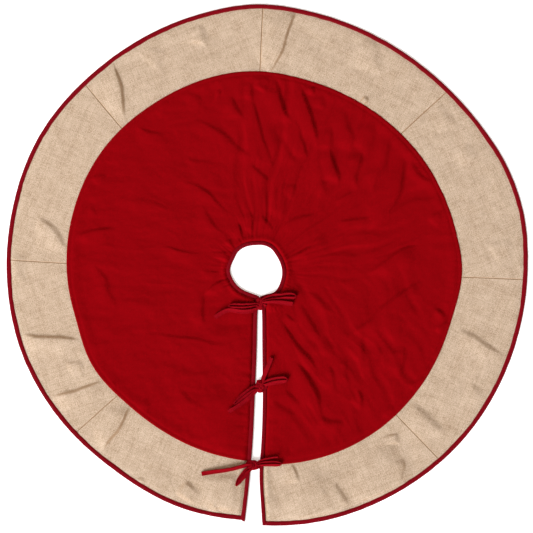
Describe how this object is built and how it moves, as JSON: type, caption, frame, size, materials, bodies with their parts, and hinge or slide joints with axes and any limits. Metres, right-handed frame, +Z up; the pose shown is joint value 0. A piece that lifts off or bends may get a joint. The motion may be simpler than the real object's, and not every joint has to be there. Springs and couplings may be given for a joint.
{
  "type": "tree skirt",
  "caption": "Round cloth skirt laid around a tree's foot: red centre, pieced burlap border, bound edges, and a slit from neck to rim closed by tied bows.",
  "frame": {"origin": "centre of the neck opening, on the floor that the skirt lies on", "axes": "+Z up through the neck; +Y towards the back, away from the slit; the slit and its bows run from the neck towards -Y"},
  "size_m": [1.2174, 1.2173, 0.0133],
  "materials": {
    "red_cotton": "plain-woven cotton, soft sheen, creased",
    "burlap": "natural jute burlap, open plain weave with slubs, matte",
    "binding_tape": "folded cotton binding tape, topstitched",
    "tie_strap": "folded and edge-stitched cotton strap",
    "lining_cotton": "natural cotton lining, matte"
  },
  "bodies": {
    "back_half": {"border_panel_1": "burlap", "border_panel_2": "burlap", "border_panel_3": "burlap", "border_panel_4": "burlap", "centre_panel_back": "red_cotton", "lining_back": "lining_cotton", "neck_binding_back": "binding_tape", "outer_binding_back": "binding_tape"},
    "front_half": {"border_panel_5": "burlap", "border_panel_6": "burlap", "border_panel_7": "burlap", "border_panel_8": "burlap", "bottom_knot": "tie_strap", "bottom_left_lead": "tie_strap", "bottom_left_loop": "tie_strap", "bottom_left_tail": "tie_strap", "bottom_right_lead": "tie_strap", "bottom_right_loop": "tie_strap", "bottom_right_tail": "tie_strap", "centre_panel_front_left": "red_cotton", "centre_panel_front_right": "red_cotton", "lining_front_left": "lining_cotton", "lining_front_right": "lining_cotton", "middle_knot": "tie_strap", "middle_left_lead": "tie_strap", "middle_left_loop": "tie_strap", "middle_left_tail": "tie_strap", "middle_right_lead": "tie_strap", "middle_right_loop": "tie_strap", "middle_right_tail": "tie_strap", "neck_binding_front_left": "binding_tape", "neck_binding_front_right": "binding_tape", "outer_binding_front_left": "binding_tape", "outer_binding_front_right": "binding_tape", "slit_binding_left": "binding_tape", "slit_binding_right": "binding_tape", "top_knot": "tie_strap", "top_left_lead": "tie_strap", "top_left_loop": "tie_strap", "top_left_tail": "tie_strap", "top_right_lead": "tie_strap", "top_right_loop": "tie_strap", "top_right_tail": "tie_strap"}
  },
  "joints": [
    {"name": "half_fold", "type": "hinge", "parent": "back_half", "child": "front_half", "pos_m": [0, 0.0052, 0.01], "axis": [-0.9993, 0.0379, 0], "range_deg": [0, 178]}
  ]
}
